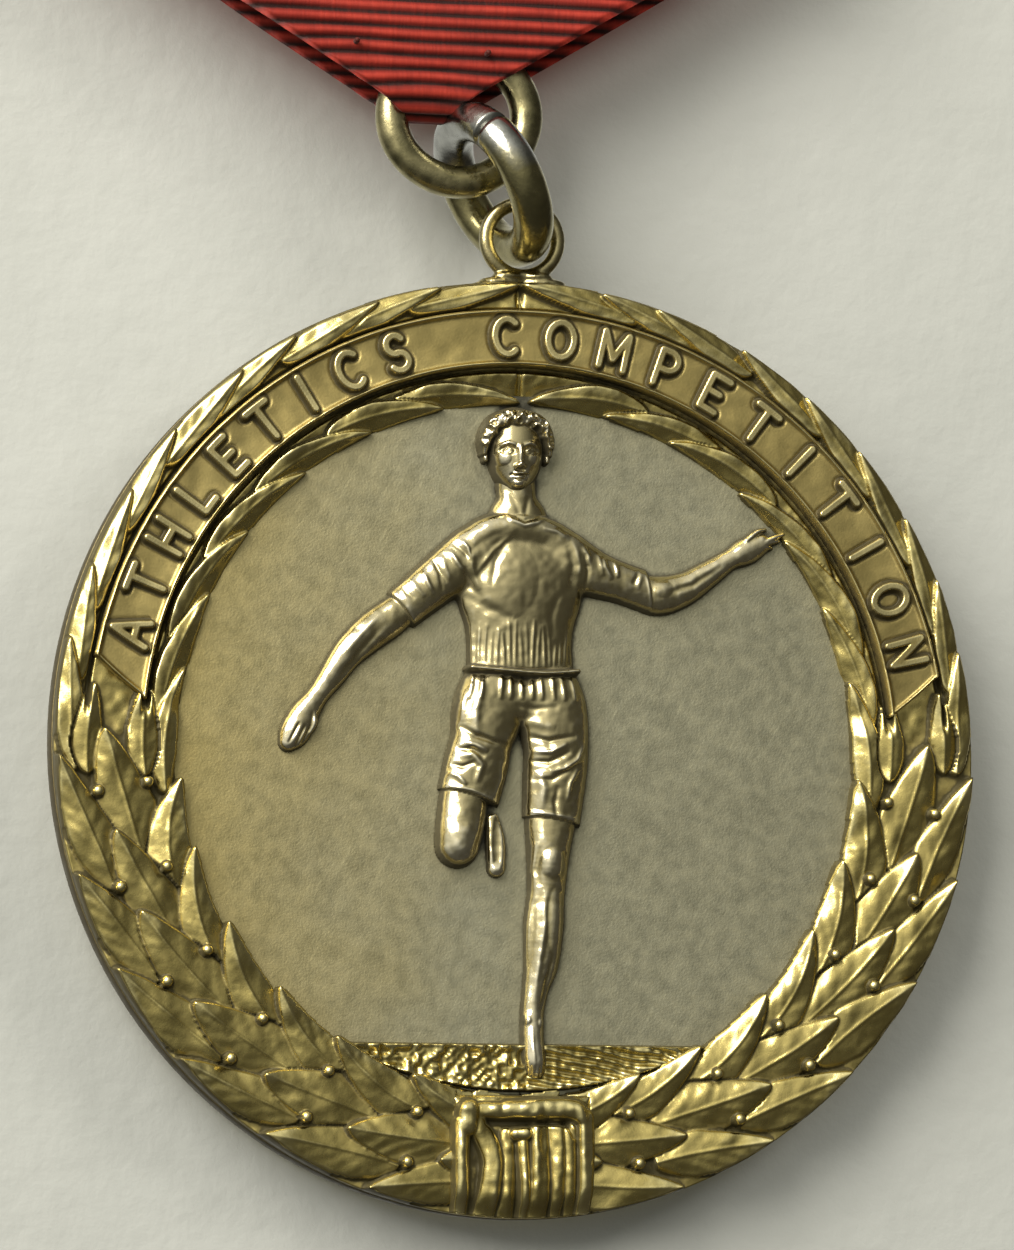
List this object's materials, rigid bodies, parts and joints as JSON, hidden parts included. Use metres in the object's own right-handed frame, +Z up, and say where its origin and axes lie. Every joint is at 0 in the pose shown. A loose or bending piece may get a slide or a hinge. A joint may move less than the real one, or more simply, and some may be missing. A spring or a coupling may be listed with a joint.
{
  "type": "sports medal",
  "caption": "Round gilt medal with a runner in relief inside a laurel wreath and banner, on two wire rings and a pointed red ribbed ribbon with a brooch pin.",
  "frame": {"origin": "middle of the flat panel on the reverse of the disc", "axes": "+Z up from the disc to the ribbon; the obverse faces -Y; +X to the right as the obverse is seen"},
  "size_m": [0.0316, 0.0057, 0.065],
  "materials": {
    "gilt_relief": "struck and gilded, matt field, rubbed high points, dark in the hollows",
    "gilt_wire": "gilded, semi-bright",
    "worn_ring": "drawn wire, gilding worn through to grey in places",
    "red_ribbon": "ribbed silk, slightly faded",
    "red_thread": "sewing thread",
    "brooch_brass": "stamped, satin",
    "pin_steel": "polished and lightly tarnished"
  },
  "bodies": {
    "ribbon_and_plate": {"ribbon": "red_ribbon", "ribbon_tack_left": "red_thread", "ribbon_tack_right": "red_thread", "pin_plate": "brooch_brass", "plate_stitch_1": "red_thread", "plate_stitch_2": "red_thread", "plate_stitch_3": "red_thread", "plate_stitch_4": "red_thread", "pin_joint": "brooch_brass", "hinge_rivet": "pin_steel", "pin_catch": "brooch_brass"},
    "pin": {"brooch_pin": "pin_steel"},
    "upper_ring": {"ribbon_ring": "worn_ring"},
    "lower_ring": {"link_ring": "worn_ring"},
    "medal": {"medal_disc": "gilt_relief", "suspension_loop": "gilt_wire", "loop_solder_left": "gilt_wire", "loop_solder_right": "gilt_wire"}
  },
  "joints": [
    {"name": "pin_opening", "type": "hinge", "parent": "ribbon_and_plate", "child": "pin", "pos_m": [-0.0125, 0.00113, 0.046], "axis": [0, 0, 1], "range_deg": [0, 80]},
    {"name": "ring_in_ribbon", "type": "hinge", "parent": "ribbon_and_plate", "child": "upper_ring", "pos_m": [-0.0019, -0.00095, 0.02047], "axis": [0, 1, 0], "range_deg": [-8, 28]},
    {"name": "link_swing", "type": "hinge", "parent": "upper_ring", "child": "lower_ring", "pos_m": [-0.00075, -0.00095, 0.01824], "axis": [0.8695, 0.1737, 0.4623], "range_deg": [-60, 60]},
    {"name": "medal_sway", "type": "hinge", "parent": "lower_ring", "child": "medal", "pos_m": [0.0002, -0.00095, 0.01647], "axis": [0, 1, 0], "range_deg": [-45, 45]}
  ]
}
